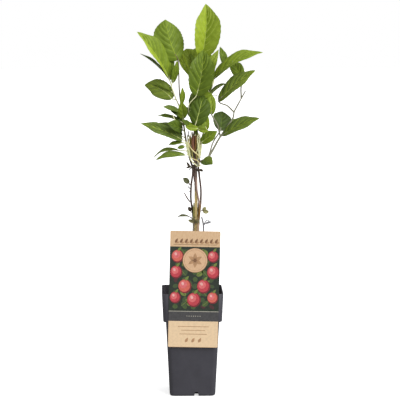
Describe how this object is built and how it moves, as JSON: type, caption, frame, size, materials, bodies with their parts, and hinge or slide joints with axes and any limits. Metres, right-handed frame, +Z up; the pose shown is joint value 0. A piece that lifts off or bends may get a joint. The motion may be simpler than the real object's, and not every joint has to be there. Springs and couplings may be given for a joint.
{
  "type": "potted red kiwi vine",
  "caption": "Young climbing kiwi vine: thin twined woody stems, a crown of pointed leaves on long stalks, in a tall square nursery pot with a plain upright label card.",
  "frame": {"origin": "middle of the pot's flat underside, where the potted plant stands", "axes": "+Z up along the stems, -Y toward the side that carries the label card, +X to the right as the card is read"},
  "size_m": [0.2283, 0.1623, 0.7146],
  "materials": {
    "pot": "moulded dark grey plastic, faint satin",
    "potting_soil": "loose dark bark and peat mix",
    "label_card": "printed kraft card",
    "main_stem": "smooth tan bark, redder above the knot",
    "left_stem": "thin brown bark with pale pores",
    "right_stem": "thin dark red-brown bark",
    "middle_stem": "thin pinkish brown bark",
    "left_shoot": "soft satin leaves, bright yellow-green",
    "front_shoot": "soft satin leaves, mid green",
    "top_shoot": "soft satin leaves, bright yellow-green",
    "right_shoot": "soft satin leaves, mid green",
    "right_lower_shoot": "soft satin leaves, darker green",
    "back_shoot": "soft satin leaves, darker green",
    "back_upper_shoot": "soft satin leaves, mid green",
    "knot_tendril": "withered twig and dry bud scales",
    "twining_stalk": "bare cream leaf stalk, smooth",
    "knot_stalk_right": "bare cream leaf stalk, smooth",
    "knot_stalk_low": "bare cream leaf stalk, smooth",
    "knot_stalk_high": "bare cream leaf stalk, smooth",
    "sprig_oval_leaf": "small dull green leaf on a grey twig",
    "sprig_twig": "small dull green leaf on a grey twig",
    "sprig_bud": "small dull green leaf on a grey twig",
    "sprig_narrow_leaf": "small dull green leaf on a grey twig",
    "sprig_right_leaf": "small dull green leaf on a grey twig",
    "sprig_grey_twig": "small dull green leaf on a grey twig",
    "sprig_low_leaves": "small dull green leaf on a grey twig"
  },
  "bodies": {
    "root": {"pot": "pot", "potting_soil": "potting_soil", "label_card": "label_card", "main_stem": "main_stem", "left_stem": "left_stem", "right_stem": "right_stem", "middle_stem": "middle_stem", "left_shoot": "left_shoot", "front_shoot": "front_shoot", "top_shoot": "top_shoot", "right_shoot": "right_shoot", "right_lower_shoot": "right_lower_shoot", "back_shoot": "back_shoot", "back_upper_shoot": "back_upper_shoot", "knot_tendril": "knot_tendril", "twining_stalk": "twining_stalk", "knot_stalk_right": "knot_stalk_right", "knot_stalk_low": "knot_stalk_low", "knot_stalk_high": "knot_stalk_high", "sprig_oval_leaf": "sprig_oval_leaf", "sprig_twig": "sprig_twig", "sprig_bud": "sprig_bud", "sprig_narrow_leaf": "sprig_narrow_leaf", "sprig_right_leaf": "sprig_right_leaf", "sprig_grey_twig": "sprig_grey_twig", "sprig_low_leaves": "sprig_low_leaves"}
  },
  "joints": []
}
